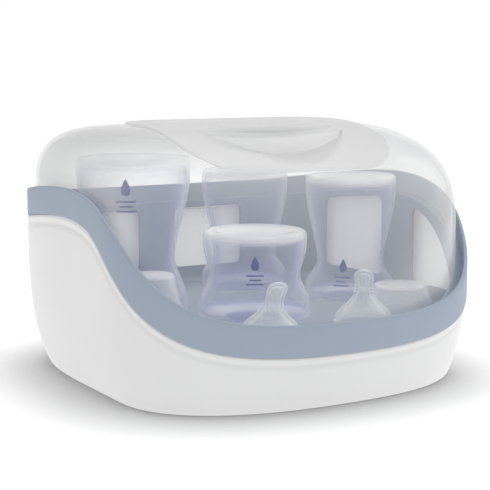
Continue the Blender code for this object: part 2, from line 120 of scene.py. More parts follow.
class Nodes:
    """Short hand for one material's node tree."""

    def __init__(self, name):
        self.mat = bpy.data.materials.new(name)
        self.mat.use_nodes = True
        self.tree = self.mat.node_tree
        self.bsdf = self.tree.nodes["Principled BSDF"]
        self.out = self.tree.nodes["Material Output"]

    def node(self, kind, **values):
        made = self.tree.nodes.new(kind)
        for key, value in values.items():
            if hasattr(made, key):
                setattr(made, key, value)
            else:
                made.inputs[key.replace("_", " ")].default_value = value
        return made

    def link(self, a, b):
        self.tree.links.new(a, b)

    def set(self, **values):
        for key, value in values.items():
            self.bsdf.inputs[key.replace("_", " ")].default_value = value

    def noise(self, scale, detail=3.0, rough=0.5):
        place = self.node("ShaderNodeTexCoord")
        made = self.node("ShaderNodeTexNoise", Scale=scale, Detail=detail, Roughness=rough)
        self.link(place.outputs["Object"], made.inputs["Vector"])
        return made.outputs["Fac"]

    def spread(self, source, low, high, start=0.3, end=0.7):
        made = self.node("ShaderNodeMapRange")
        for key, value in zip(("From Min", "From Max", "To Min", "To Max"), (start, end, low, high)):
            made.inputs[key].default_value = value
        self.link(source, made.inputs["Value"])
        return made.outputs["Result"]

    def base_colour(self):
        """Socket that feeds the base colour so far."""
        return self.bsdf.inputs["Base Color"].links[0].from_socket

    def place(self, axis):
        """Object coordinate along one axis, in metres in the row frame."""
        made = self.node("ShaderNodeSeparateXYZ")
        self.link(self.node("ShaderNodeTexCoord").outputs["Object"], made.inputs[0])
        return made.outputs[axis]

    def math(self, operation, first, second):
        made = self.node("ShaderNodeMath", operation=operation)
        self.link(first, made.inputs[0])
        self.link(second, made.inputs[1])
        return made.outputs[0]

    def tint(self, source, first, second):
        made = self.node("ShaderNodeMix", data_type="RGBA")
        if isinstance(first, bpy.types.NodeSocket):
            self.link(first, made.inputs[6])
        else:
            made.inputs[6].default_value = first
        made.inputs[7].default_value = second
        self.link(source, made.inputs[0])
        self.link(made.outputs[2], self.bsdf.inputs["Base Color"])

    def bump(self, source, strength, distance):
        made = self.node("ShaderNodeBump", Strength=strength, Distance=distance)
        self.link(source, made.inputs["Height"])
        self.link(made.outputs["Normal"], self.bsdf.inputs["Normal"])

    def facing(self, power):
        """0 where the surface is seen square on, 1 where it is seen along itself."""
        weight = self.node("ShaderNodeLayerWeight", Blend=0.5)
        curve = self.node("ShaderNodeMath", operation="POWER")
        curve.inputs[1].default_value = power
        self.link(weight.outputs["Facing"], curve.inputs[0])
        return curve.outputs[0]

    def lets_light_in(self):
        """The thin clear wall is there for the camera, and light passes as if it weren't."""
        path, gap = self.node("ShaderNodeLightPath"), self.node("ShaderNodeBsdfTransparent")
        mix = self.node("ShaderNodeMixShader")
        self.link(path.outputs["Is Camera Ray"], mix.inputs[0])
        self.link(gap.outputs[0], mix.inputs[1])
        self.link(self.bsdf.outputs[0], mix.inputs[2])
        self.link(mix.outputs[0], self.out.inputs["Surface"])


def moulded(name, dark, light, rough, grain, coat=0.0):
    """Moulded opaque plastic: faint flow marks in the colour, fine grain in gloss and bump."""
    m = Nodes(name)
    m.tint(m.spread(m.noise(9.0, 2.0), 0.0, 1.0), dark, light)
    m.link(m.spread(m.noise(60.0, 4.0), rough - 0.04, rough + 0.05), m.bsdf.inputs["Roughness"])
    m.bump(m.noise(2600.0, 2.0), grain, 0.00006)
    m.set(IOR=1.49, Coat_Weight=coat, Coat_Roughness=0.12)
    return m.mat


def clear(name, middle, border, rough, face, edge, power, grain=0.05, **extra):
    """See-through plastic or silicone: a thin veil, denser and in the border colour where seen edge-on.

    Options, with places in metres: turn=veil at which the border colour is reached,
    foot=(alpha, z) thickens the veil below a height, rear=(share, y, y) thins it behind,
    right=colour is the border colour on the right, where the veil is thinner: painted side light, greyer on the left,
    hollow=colour is the painted shade that the attribute "recess" darkens towards,
    and crown=(alpha, colour) is the veil where the attribute "crown" is 1, a painted highlight, whiter and denser.
    """
    m = Nodes(name)
    veil = m.facing(power)
    if "rear" in extra:
        share, start, end = extra["rear"]
        veil = m.math("MULTIPLY", veil, m.spread(m.place("Y"), 1.0, share, start, end))
    # Painted side light: the veil thins towards the right.
    if "right" in extra:
        veil = m.math("MULTIPLY", veil, m.spread(m.place("X"), 1.0, *PAINTED_SIDE_VEIL))
    turn = m.spread(veil, 0.0, 1.0, 0.0, extra.get("turn", 1.0))
    # Painted side shade: the border colour runs from grey on the left to the lighter right colour.
    if "right" in extra:
        m.tint(m.spread(m.place("X"), 0.0, 1.0, *PAINTED_SIDE_TONE), border, extra["right"])
        m.tint(m.spread(turn, 1.0, 0.0, 0.0, 1.0), m.base_colour(), middle)
    else:
        m.tint(turn, middle, border)
    alpha = m.spread(veil, face, edge, 0.0, 1.0)
    if "foot" in extra:
        most, z = extra["foot"]
        alpha = m.math("MAXIMUM", alpha, m.spread(m.place("Z"), most, 0.0, z - 0.004, z + 0.004))
    # Painted shade in the recesses: colour darkened by the attribute "recess".
    if "hollow" in extra:
        depth = m.node("ShaderNodeAttribute", attribute_name="recess").outputs["Fac"]
        m.tint(depth, m.base_colour(), extra["hollow"])
    # Painted highlight: colour whitened and the veil made denser where "crown" is 1.
    if "crown" in extra:
        most, tone = extra["crown"]
        crown = m.node("ShaderNodeAttribute", attribute_name="crown").outputs["Fac"]
        m.tint(crown, m.base_colour(), tone)
        alpha = m.math("MAXIMUM", alpha, m.spread(crown, 0.0, most, 0.0, 1.0))
    m.link(alpha, m.bsdf.inputs["Alpha"])
    m.link(m.spread(m.noise(45.0, 3.0), rough * 0.8, rough * 1.3), m.bsdf.inputs["Roughness"])
    m.bump(m.noise(180.0, 2.0), grain, 0.0002)
    m.set(IOR=1.5)
    m.lets_light_in()
    return m.mat


def lining(name):
    """Inner side of the white tub, through whose wall a little daylight comes: painted light, a lighter copy of the
    white plastic with a glow.
    """
    mat = moulded(name, colour(0.90, 0.90, 0.895), colour(0.93, 0.93, 0.925), 0.40, 0.04)
    shader = mat.node_tree.nodes["Principled BSDF"]
    shader.inputs["Emission Color"].default_value = colour(1.0, 1.0, 0.985)
    shader.inputs["Emission Strength"].default_value = DAYLIGHT
    return mat


WHITE = moulded("white_polypropylene", colour(0.755, 0.755, 0.755), colour(0.775, 0.775, 0.775), 0.32, 0.04)
LINING_PAINTED_LIGHT = lining("white_polypropylene_inside_painted_light")
BLUE = moulded("blue_grey_polypropylene", colour(0.322, 0.375, 0.461), colour(0.342, 0.395, 0.481), 0.55, 0.1)
# The lid's right= option paints side light: its left border greyer, its right lighter and thinner.
LID = clear("lid_clear_plastic", colour(0.84, 0.84, 0.84), colour(0.54, 0.54, 0.54), 0.10, 0.055, 0.80, 1.6,
            rear=(0.35, 0.03, 0.10), turn=0.5, right=colour(0.76, 0.76, 0.76))
# hollow paints shade into the grip's slot and bowl.
SATIN = clear("lid_satin_plastic", colour(0.75, 0.75, 0.75), colour(0.66, 0.66, 0.66), 0.38, 0.42, 0.97, 1.6, 0.1,
              hollow=colour(0.42, 0.42, 0.42))
# crown paints a highlight on each bottle's upturned base.
BOTTLE = clear("bottle_clear_plastic", colour(0.52, 0.56, 0.80), colour(0.97, 0.98, 1.0), 0.10, 0.06, 0.85, 2.6,
               foot=(0.5, 0.050), crown=(0.42, colour(0.97, 0.98, 1.0)))
SILICONE = clear("clear_silicone", colour(0.80, 0.86, 0.88), colour(0.95, 0.97, 0.98), 0.22, 0.16, 0.85, 1.9, 0.1)
CAP = clear("cap_clear_plastic", colour(0.84, 0.86, 0.92), colour(0.95, 0.96, 0.98), 0.16, 0.20, 0.85, 2.2)
PRINT = moulded("blue_print", colour(0.045, 0.085, 0.30), colour(0.055, 0.10, 0.33), 0.4, 0.05)


# ---------------------------------------------------------------- meshes
def mesh_piece(name, verts, faces, mat, sharp=32.0, where=(0.0, 0.0)):
    """Object from points in millimetres, welded, outward-facing and smooth but for its edges."""
    bm = bmesh.new()
    made = [bm.verts.new(((p[0] + where[0]) * MM, (p[1] + where[1]) * MM, p[2] * MM)) for p in verts]
    for face in faces:
        bm.faces.new([made[k] for k in face])
    bmesh.ops.remove_doubles(bm, verts=bm.verts, dist=1e-7)
    bmesh.ops.recalc_face_normals(bm, faces=bm.faces)
    mesh = bpy.data.meshes.new(name)
    bm.to_mesh(mesh)
    bm.free()
    mesh.shade_smooth()
    mesh.set_sharp_from_angle(angle=math.radians(sharp))
    mesh.materials.append(mat)
    ob = bpy.data.objects.new(name, mesh)
    bpy.context.scene.collection.objects.link(ob)
    return ob


def loop_faces(rows, cols, wrap_rows=False):
    """Quads over rows of points that close round their columns."""
    faces = []
    for r in range(rows if wrap_rows else rows - 1):
        for c in range(cols):
            a, b = r * cols + c, r * cols + (c + 1) % cols
            d, e = ((r + 1) % rows) * cols + c, ((r + 1) % rows) * cols + (c + 1) % cols
            faces.append((a, b, e, d))
    return faces


def flat_list(rows):
    return [tuple(p) for row in rows for p in row]


def hoop(name, rows, mat, sharp=32.0):
    return mesh_piece(name, flat_list(rows), loop_faces(len(rows), len(rows[0]), True), mat, sharp)


def stack(name, rows, mat, sharp=32.0):
    """Body from closed rings, with a flat cap on the first and the last."""
    cols = len(rows[0])
    faces = loop_faces(len(rows), cols)
    faces.append(tuple(range(cols)))
    faces.append(tuple((len(rows) - 1) * cols + c for c in range(cols)))
    return mesh_piece(name, flat_list(rows), faces, mat, sharp)


def cut(target, cutter, sharp=32.0):
    """Cuts cutter out of target for good, and removes the cutter."""
    mod = target.modifiers.new("cut", "BOOLEAN")
    mod.operation, mod.solver, mod.object = "DIFFERENCE", "EXACT", cutter
    graph = bpy.context.evaluated_depsgraph_get()
    mesh = bpy.data.meshes.new_from_object(target.evaluated_get(graph))
    target.modifiers.clear()
    old, target.data = target.data, mesh
    mesh.name = target.name
    bpy.data.meshes.remove(old)
    bpy.data.objects.remove(cutter)
    mesh.shade_smooth()
    mesh.set_sharp_from_angle(angle=math.radians(sharp))
    while len(mesh.materials) > 1:
        mesh.materials.pop()


def rounded(corners, radii, steps=4, closed=True):
    """Rows along a section whose corners are rounded. A corner is an array of points."""
    rows, n = [], len(corners)
    for k in range(n):
        p = corners[k]
        if radii[k] == 0 or (not closed and k in (0, n - 1)):
            rows.append(p)
            continue
        to_a, to_b = corners[k - 1] - p, corners[(k + 1) % n] - p
        len_a = np.linalg.norm(to_a, axis=-1, keepdims=True)
        len_b = np.linalg.norm(to_b, axis=-1, keepdims=True)
        first = p + to_a / len_a * np.minimum(radii[k], 0.46 * len_a)
        last = p + to_b / len_b * np.minimum(radii[k], 0.46 * len_b)
        for t in np.linspace(0.0, 1.0, steps + 1):
            rows.append((1 - t) ** 2 * first + 2 * t * (1 - t) * p + t * t * last)
    return rows


def oval(half, front, back, pow_f, pow_b, n, mid=MID_Y):
    """Closed outline of n points an equal distance apart."""
    ang = np.linspace(0.0, 2.0 * math.pi, 2881)
    c, s = np.cos(ang), np.sin(ang)
    pw = np.where(s < 0, pow_f, pow_b)
    x = half * np.sign(c) * np.abs(c) ** (2.0 / pw)
    y = np.where(s < 0, front, back) * np.sign(s) * np.abs(s) ** (2.0 / pw) + mid
    run = np.concatenate([[0.0], np.cumsum(np.hypot(np.diff(x), np.diff(y)))])
    at = np.linspace(0.0, run[-1], n + 1)[:-1]
    return np.stack([np.interp(at, run, x), np.interp(at, run, y)], 1)


def inward(pts):
    d = np.roll(pts, -1, 0) - np.roll(pts, 1, 0)
    nrm = np.stack([-d[:, 1], d[:, 0]], 1)
    return nrm / np.linalg.norm(nrm, axis=1)[:, None]


def ring(pts, z):
    return np.column_stack([pts, np.broadcast_to(z, len(pts))])


# ---------------------------------------------------------------- swept heights
def rim(y):
    y = np.asarray(y, float)
    rise = 1.0 / (1.0 + np.exp(-(y - RIM_MID) / RIM_SOFT))
    back = np.clip((y + 1.8) / 135.0, 0.0, None) ** 1.5
    return RIM_LOW + (RIM_HIGH - RIM_LOW) * rise - BACK_DROP * back


def ledge(y):
    return LEDGE_LOW + (rim(y) - float(rim(MID_Y - FRONT))) * LEDGE_RISE


def seam(pts):
    """Height of the band's lower edge: a constant distance square to the rim."""
    step = np.linalg.norm(np.roll(pts, -1, 0) - pts, axis=1)
    run = np.concatenate([[0.0], np.cumsum(step)])
    z = rim(pts[:, 1])
    tilt = np.arctan((np.roll(z, -1) - np.roll(z, 1)) / (np.roll(step, 1) + step))
    s = run[:-1] + BAND * np.sin(tilt)
    h = z - BAND * np.cos(tilt)
    s3 = np.concatenate([s - run[-1], s, s + run[-1]])
    order = np.argsort(s3)
    return np.interp(run[:-1], s3[order], np.concatenate([h, h, h])[order])


def tuck(pts, z):
    """Outline drawn in towards the foot."""
    t = np.broadcast_to(np.clip(1.0 - np.asarray(z, float) / TUCK_TOP, 0.0, 1.0) ** TUCK_POW, len(pts))
    x = pts[:, 0] * (HALF_W - TUCK_X * t) / HALF_W
    yf = pts[:, 1] - MID_Y
    ky = np.where(yf < 0, (FRONT - TUCK_F * t) / FRONT, (BACK - TUCK_B * t) / BACK)
    return np.stack([x, yf * ky + MID_Y], 1)


OUTLINE = oval(HALF_W, FRONT, BACK, FRONT_POW, BACK_POW, COLS)
NORMAL = inward(OUTLINE)
SEAM = seam(OUTLINE)


# ---------------------------------------------------------------- base and basket
def base_piece():
    """Tub with a rounded foot, a soft bead under the band and a filleted floor."""
    top = SEAM - GAP

    def wall(inset, z):
        z = np.broadcast_to(z, COLS)
        return ring(tuck(OUTLINE, z) + NORMAL * inset, z)

    rows = [wall(14.0, 0.0), wall(3.4, 0.0), wall(2.2, 0.12), wall(1.2, 0.5), wall(0.5, 1.2), wall(0.1, 2.3)]
    rows += [wall(0.0, 3.5 + (top - 12.5) * k) for k in np.linspace(0.0, 1.0, 16)]
    bead = ((8.0, 0.08), (7.0, 0.28), (6.0, 0.55), (5.1, 0.66), (4.3, 0.52), (3.4, 0.22), (2.5, 0.02),
            (1.7, 0.0), (1.0, 0.14), (0.5, 0.42), (0.15, 0.8), (0.0, 1.25), (0.05, 1.7), (0.3, 2.15), (0.8, 2.5))
    rows += [wall(inset, top - down) for down, inset in bead]
    rows += [wall(BASE_WALL, BASE_FLOOR + 6.0 + (top - BASE_FLOOR - 7.5) * k) for k in np.linspace(1.0, 0.0, 12)]
    for t in np.linspace(0.15, 1.0, 6):
        a = 0.5 * math.pi * t
        rows.append(wall(BASE_WALL + 6.0 * (1 - math.cos(a)), BASE_FLOOR + 6.0 * (1 - math.sin(a))))
    ob = stack("base_tub_look", rows, WHITE, 50.0)
    # Faces looking into the tub take the painted-light lining.
    ob.data.materials.append(LINING_PAINTED_LIGHT)
    for face in ob.data.polygons:
        face.material_index = int(face.center.z > BASE_FLOOR * MM * 0.98 and inside_tub(face))
    return ob


def inside_tub(face):
    """True on the faces that look into the tub."""
    towards = Vector((face.center.x, face.center.y - MID_Y * MM * 0.4, 0.0))
    return face.normal.z > 0.7 or face.normal.dot(towards) < -0.02


def web_low(y):
    return np.maximum(ledge(y) - WEB, TRAY_TOP + 0.4)


def basket_piece():
    """Band, lid ledge and lower wall of the basket as one swept moulding."""
    def corner(inset, height):
        y = (OUTLINE + NORMAL * inset)[:, 1]
        return np.column_stack([np.full(COLS, inset), np.broadcast_to(height(y) if callable(height) else height, COLS)])

    foot = np.minimum(TRAY_TOP + 3.0, ledge((OUTLINE + NORMAL * STEP_IN)[:, 1]) - 0.7)
    corners = [corner(SKIN, SEAM), corner(0.0, SEAM), corner(0.0, rim), corner(SKIN, rim), corner(SKIN, ledge),
               corner(STEP_IN, ledge), corner(STEP_IN, foot), corner(STEP_IN + 3.0, TRAY_TOP + 0.04),
               corner(STEP_OUT, TRAY_TOP - 0.1), corner(STEP_OUT, web_low), corner(SKIN, web_low)]
    radii = (0.5, 0.6, 1.25, 1.25, 0.8, 0.9, 2.5, 0, 0, 0.4, 0.6)
    rows = [ring(OUTLINE + NORMAL * r[:, :1], r[:, 1]) for r in rounded(corners, radii)]
    body = hoop("basket_look", rows, BLUE)
    fine = oval(HALF_W, FRONT, BACK, FRONT_POW, BACK_POW, 4 * COLS)
    tests = []
    for side in (-1.0, 1.0):
        tests.append((lambda p, s=side: 15 < (p[0] - WINDOW_CX) * s < 75 and p[1] > 110, WINDOW_TOP[0]))
        tests.append((lambda p, s=side: p[0] * s > 80 and 10 < p[1] < 80, WINDOW_TOP[1]))
        tests.append((lambda p, s=side: p[0] * s > 80 and -88 < p[1] < -26, WINDOW_TOP[2]))
    verts, faces = [], []
    for keep, drop in tests:
        v, f = window_block(fine, keep, drop)
        faces += [tuple(i + len(verts) for i in face) for face in f]
        verts += v
    cut(body, mesh_piece("cut_windows", verts, faces, BLUE))
    return body


def window_block(pts, keep, drop):
    """Curved block through the lower wall, with rounded corners."""
    nrm, edge = inward(pts), seam(pts) - drop
    idx = [i for i in range(len(pts)) if keep(pts[i])]
    start = next(i for i in idx if (i - 1) % len(pts) not in idx)
    run = [(start + k) % len(pts) for k in range(len(idx))]
    step = np.linalg.norm(pts[1] - pts[0])
    verts, faces = [], []
    for k, i in enumerate(run):
        near = min(k, len(run) - 1 - k) * step
        d = max(WINDOW_ROUND - near, 0.0)
        low = SILL + WINDOW_ROUND - math.sqrt(max(WINDOW_ROUND ** 2 - d * d, 0.0))
        high = max(edge[i] - (low - SILL), low + 0.6)
        for inset, z in ((5.0, low), (5.0, high), (15.0, high), (15.0, low)):
            verts.append((*(pts[i] + nrm[i] * inset), z))
    for k in range(len(run) - 1):
        faces += [(4 * k + j, 4 * k + (j + 1) % 4, 4 * k + (j + 1) % 4 + 4, 4 * k + j + 4) for j in range(4)]
    faces += [(0, 1, 2, 3), tuple(4 * (len(run) - 1) + j for j in range(4))]
    return verts, faces


def post(x, y, r, z0, z1, n):
    a = np.linspace(0.0, 2.0 * math.pi, n, endpoint=False)
    verts = [(x + r * math.cos(t), y + r * math.sin(t), z) for z in (z0, z1) for t in a]
    faces = [(k, (k + 1) % n, n + (k + 1) % n, n + k) for k in range(n)]
    return verts, faces + [tuple(range(n)), tuple(range(n, 2 * n))]


def tray_piece():
    """Floor of the basket, with a hole for each bottle neck."""
    low = TRAY_TOP - TRAY_T
    levels = ((STEP_OUT + 0.5, low), (STEP_OUT + 0.1, low + 0.4), (STEP_OUT, low + 0.9), (STEP_OUT, TRAY_TOP))
    body = stack("basket_tray_look", [ring(OUTLINE + NORMAL * d, z) for d, z in levels], BLUE)
    holes = [post(b[0], b[1], NECK_HOLE_R, low - 2, TRAY_TOP + 2, 72) for b in BOTTLES.values()]
    verts, faces = [], []
    for v, f in holes:
        faces += [tuple(i + len(verts) for i in face) for face in f]
        verts += v
    cut(body, mesh_piece("cut_tray", verts, faces, BLUE))
    return body


# ---------------------------------------------------------------- lid
def lid_height(x, y, inset):
    """Height of the dome over a plan point; inset moves the whole skin inwards."""
    y_f, y_b = MID_Y - FRONT + LID_FRONT + inset, MID_Y + BACK - LID_BACK - inset
    ahead = y < LID_CREST_Y
    t = np.where(ahead, (LID_CREST_Y - y) / (LID_CREST_Y - y_f), (y - LID_CREST_Y) / (y_b - LID_CREST_Y))
    m = np.where(ahead, LID_FALL_F, LID_FALL_B)
    crest = (LID_TOP - inset - LID_ZERO) * (1.0 - np.clip(t, 0, 1) ** m) ** (1.0 / m)
    yf = y - MID_Y
    pw = np.where(yf < 0, LID_FRONT_POW, LID_BACK_POW)
    reach = np.where(yf < 0, FRONT - LID_FRONT - inset, BACK - LID_BACK - inset)
    half = (HALF_W - LID_SIDE - inset) * (1.0 - np.clip(np.abs(yf) / reach, 0, 1) ** pw) ** (1.0 / pw)
    w = np.clip((y - y_f) / (y_b - y_f), 0, 1)
    ms = LID_SIDE_F + (LID_SIDE_B - LID_SIDE_F) * w
    u = np.clip(np.abs(x) / (half + 1e-9), 0, 1)
    return LID_ZERO + crest * (1.0 - u ** ms) ** (1.0 / ms)


def lid_skin(inset, count):
    """Rows of dome points from the lower edge up to the panel's opening."""
    pts = oval(HALF_W - LID_SIDE - inset, FRONT - LID_FRONT - inset, BACK - LID_BACK - inset,
               LID_FRONT_POW, LID_BACK_POW, COLS)
    hole = np.array([PANEL_X - OPENING_IN, PANEL_Y - OPENING_IN])
    rho = np.linspace(0.0, 1.0, 900) ** 2.2
    foot = ledge(pts[:, 1]) + LID_GAP
    cols = []
    for p, z0 in zip(pts, foot):
        away = p - PANEL_AT
        stop = 1.0 - (np.abs(away / hole) ** PANEL_POW).sum() ** (-1.0 / PANEL_POW)
        line = p - away * (rho * stop)[:, None]
        z = lid_height(line[:, 0], line[:, 1], inset)
        k = int(np.argmax(z > z0))
        xyz = np.column_stack([line, z])[k:]
        xyz = np.vstack([[xyz[0, 0], xyz[0, 1], z0], xyz])
        run = np.concatenate([[0.0], np.cumsum(np.linalg.norm(np.diff(xyz, axis=0), axis=1))])
        at = run[-1] * np.linspace(0.0, 1.0, count)
        cols.append(np.stack([np.interp(at, run, xyz[:, j]) for j in range(3)], 1))
    return [np.array([c[r] for c in cols]) for r in range(count)]


def lid_piece():
    """Clear dome with a real wall, a rounded lower lip and the opening for the panel."""
    outer, inner = lid_skin(0.0, 46), lid_skin(LID_WALL, 46)
    lip = 0.5 * (outer[0] + inner[0])
    outer[0], inner[0] = outer[0] + [0, 0, 0.5], inner[0] + [0, 0, 0.5]
    rows = [lip, *outer, *inner[::-1]]
    return hoop("lid_shell_look", rows, LID, 40.0)


def scoop(x, y):
    """Finger recesses either side of the grip ridge, x measured from the panel's middle."""
    across = np.clip(1.0 - (x / GRIP_X) ** 2, 0.0, 1.0)
    slot = np.clip(1.0 - ((y - SLOT_Y) / (SLOT_HALF * across + 1e-6)) ** 2, 0.0, 1.0)
    t = (GRIP_Y - 5.0 * across + 5.0 - y) / (BOWL_LONG * across + 1e-6)
    fade = np.clip(t / 0.25, 0, 1) * np.clip((1.0 - t) / 0.75, 0, 1) ** 0.8
    bowl = np.where((t > 0) & (t < 1), fade, 0.0)
    return (SLOT_DEEP * slot + BOWL_DEEP * bowl) * across ** 0.5


def panel_outline(n):
    """Rounded rectangle, points an equal distance apart."""
    hx, hy, r = PANEL_X, PANEL_Y, PANEL_ROUND
    path = []
    for k, (sx, sy) in enumerate(((1, 1), (-1, 1), (-1, -1), (1, -1))):
        for a in np.linspace(0.0, 0.5 * math.pi, 40) + 0.5 * math.pi * k:
            path.append((sx * (hx - r) + r * math.cos(a), sy * (hy - r) + r * math.sin(a)))
    path = np.array(path + path[:1])
    run = np.concatenate([[0.0], np.cumsum(np.linalg.norm(np.diff(path, axis=0), axis=1))])
    at = np.linspace(0.0, run[-1], n + 1)[:-1]
    return np.stack([np.interp(at, run, path[:, 0]), np.interp(at, run, path[:, 1])], 1)


def panel_piece():
    """Satin plate with a rounded border, the finger slot and the thumb bowl, with painted shade darkening the slot and
    the bowl.
    """
    cols, fine = 320, 84
    edge = panel_outline(cols)
    nrm = inward(edge)
    rows = []

    def level(plan, lift, dig):
        plan = plan + PANEL_AT
        z = lid_height(plan[:, 0], plan[:, 1], 0.0) + lift - dig * scoop(plan[:, 0] - PANEL_AT[0], plan[:, 1])
        return np.column_stack([plan, z])

    top = PANEL_LIFT + PANEL_T
    for a in np.linspace(0.0, 0.5 * math.pi, 5):
        rows.append(level(edge + nrm * (1.3 * (1 - math.cos(a))), top - 0.9 * (1 - math.sin(a)), 1.0))
    inside = edge + nrm * 1.3
    rows += [level(inside * k, top, 1.0) for k in np.linspace(1.0, 0.004, fine)[1:]]
    under = [level(edge + nrm * 0.4, PANEL_LIFT, 1.0)]
    under += [level(inside * k, PANEL_LIFT, 1.0) for k in np.linspace(1.0, 0.004, fine)]
    rows = under[::-1] + rows
    ob = stack("lid_grip_panel_look", rows, SATIN, 28.0)
    plan = np.array([v.co[:2] for v in ob.data.vertices]) / MM
    # Painted shade: "recess" is the recess depth over 5 mm in and behind the slot and over 16 mm in the bowl ahead of
    # it, for darkening the satin colour.
    recess = ob.data.attributes.new("recess", "FLOAT", "POINT")
    dig = scoop(plan[:, 0] - PANEL_AT[0], plan[:, 1])
    full_tone = np.where(plan[:, 1] > SLOT_Y - SLOT_HALF, 5.0, 16.0)
    recess.data.foreach_set("value", np.clip(dig / full_tone, 0.0, 1.0))
    return ob


# ---------------------------------------------------------------- load
def lathe(name, profile, mat, where, steps=112, lean=0.0, lean_z=0.0, swell=None, sharp=32.0):
    """Profile of (r, z) turned round an upright axis; swell(r, z, angle) moves the radius."""
    ang = np.linspace(0.0, 2.0 * math.pi, steps, endpoint=False)
    verts, faces, starts = [], [], []
    for r, z in profile:
        starts.append(len(verts))
        if r < 1e-6:
            verts.append((lean * max(z - lean_z, 0.0), 0.0, z))
            continue
        rr = np.full(steps, r) if swell is None else swell(r, z, ang)
        verts += [(q * math.cos(a) + lean * max(z - lean_z, 0.0), q * math.sin(a), z) for q, a in zip(rr, ang)]
    n = len(profile)
    for k in range(n):
        a, b = starts[k], starts[(k + 1) % n]
        tip_a, tip_b = profile[k][0] < 1e-6, profile[(k + 1) % n][0] < 1e-6
        if tip_a and tip_b:
            continue
        for c in range(steps):
            d = (c + 1) % steps
            if tip_a:
                faces.append((a, b + d, b + c))
            elif tip_b:
                faces.append((a + c, a + d, b))
            else:
                faces.append((a + c, a + d, b + d, b + c))
    return mesh_piece(name, verts, faces, mat, sharp, where)


def bottle_side(z, top, base_r, waist_z, waist_r, shoulder_r):
    if z > waist_z:
        k = (z - waist_z) / (top - 8.0 - waist_z)
        return waist_r + (base_r - waist_r) * math.sin(0.5 * math.pi * min(k, 1.0)) ** 1.6
    k = (waist_z - z) / (waist_z - 50.0)
    return waist_r + (shoulder_r - waist_r) * math.sin(0.5 * math.pi * min(k, 1.0)) ** 1.6


def bent(points, radii, steps=5):
    """Open profile with its corners rounded."""
    corners = [np.array([p], float) for p in points]
    return [tuple(r[0]) for r in rounded(corners, radii, steps, closed=False)]


def bottle_piece(name, dims):
    x, y, top, base_r, waist_z, waist_r, shoulder_r = dims
    w, shape = BOTTLE_WALL, (top, base_r, waist_z, waist_r, shoulder_r)
    levels = list(np.linspace(top - 9.0, 50.0, 44))
    outer = bent([(0.0, top - 5.0), (base_r * 0.42, top - 4.6), (base_r * 0.80, top - 0.1), (base_r, top - 0.1),
                  (base_r, top - 9.0)], (0, 8, 4.0, 6.0, 0), 6)[:-1]
    outer += [(bottle_side(z, *shape), z) for z in levels]
    outer += bent([(shoulder_r, 50.0), (shoulder_r - 0.3, SEAT + 0.2), (NECK_R + 1.2, SEAT + 0.1),
                   (NECK_R, SEAT - 1.4), (NECK_R, NECK_END), (NECK_R - w, NECK_END), (NECK_R - w, SEAT + w),
                   (shoulder_r - 0.9 - w, SEAT + w + 0.3), (shoulder_r - w, 50.0)],
                  (0, 5.0, 1.2, 1.0, 0.6, 0.6, 2.0, 5.0, 0))[1:-1]
    inner = [(bottle_side(z, *shape) - w, z) for z in levels[::-1]]
    inner += bent([(base_r - w, top - 9.0), (base_r - w, top - 0.1 - w), (base_r * 0.80 - 0.4, top - 0.1 - w),
                   (base_r * 0.42, top - 4.6 - w), (0.0, top - 5.0 - w)], (0, 5.0, 4.0, 8, 0), 6)[1:]
    profile = outer + inner
    top_z, low_z = SEAT - 7.0, NECK_END + 3.0
    k = next(i for i, (r, z) in enumerate(profile) if abs(r - NECK_R) < 1e-6 and z < SEAT - 2.0)
    fill = [(NECK_R, z) for z in np.arange(SEAT - 3.4, NECK_END + 1.2, -0.55)]
    profile = profile[:k] + fill + profile[k:]

    def thread(r, z, ang):
        rr = np.full(len(ang), r)
        if abs(r - NECK_R) < 0.02 and low_z < z < top_z:
            phase = (z - low_z) / THREAD_PITCH - ang / (2.0 * math.pi)
            ridge = np.clip(np.cos(2.0 * math.pi * phase) * 1.4 - 0.4, 0.0, 1.0)
            ends = min(1.0, (z - low_z) / 1.5, (top_z - z) / 1.5)
            rr = rr + THREAD_TALL * ridge * ends
        return rr

    ob = lathe(name + "_look", profile, BOTTLE, (x, y), swell=thread)
    # Painted highlight on the upturned base: "crown" rises from 0 at 8 mm below the top to 1 at 5 mm below it.
    crown = ob.data.attributes.new("crown", "FLOAT", "POINT")
    height = np.array([v.co.z for v in ob.data.vertices]) / MM
    crown.data.foreach_set("value", np.clip((height - top + 8.0) / 3.0, 0.0, 1.0))
    return ob


def teat_piece(name, dims, ribs):
    x, y, top, foot, lean = dims
    z0, w, tip = SEAT, 1.8, 6.6
    h = top - z0
    outer = [(0.0, top), (tip * 0.62, top - 0.7), (tip * 0.97, top - 3.0), (tip * 1.0, top - 6.2),
             (tip * 0.86, top - 9.6)]
    if ribs:
        for k in range(3):
            outer += [(tip * 0.98 + 0.35 * k, top - 10.6 - 2.1 * k), (tip * 0.84 + 0.45 * k, top - 11.7 - 2.1 * k)]
        outer += [(tip * 1.08, top - 17.4)]
    else:
        outer += [(tip * 0.92, top - 13.0), (tip * 1.12, top - 16.0)]
    outer += [(foot * 0.56, z0 + h * 0.37), (foot * 0.80, z0 + h * 0.25), (foot * 0.93, z0 + h * 0.14),
              (foot * 0.95, z0 + 3.4), (foot * 0.955, z0 + 2.6), (foot, z0 + 2.0), (foot, z0 + 0.1),
              (foot * 0.95 - w, z0 + 0.1)]
    inner = [(foot * 0.93 - w, z0 + h * 0.12), (foot * 0.80 - w, z0 + h * 0.21), (foot * 0.55 - w, z0 + h * 0.33),
             (tip * 0.95 - w, z0 + h * 0.52), (tip * 0.8 - w, top - 9.8), (tip - w, top - 6.0), (tip * 0.55, top - 3.2),
             (0.0, top - 2.6)]
    points = outer + inner
    radii = [0] + [1.1 if ribs and 5 <= k <= 10 else 3.0 for k in range(1, len(points) - 1)] + [0]
    for k in range(len(outer) - 4, len(outer)):
        radii[k] = 0.7
    profile = bent(points, radii, 5)
    return lathe(name + "_look", profile, SILICONE, (x, y), 96, lean, z0 + 0.35 * h, sharp=45.0)


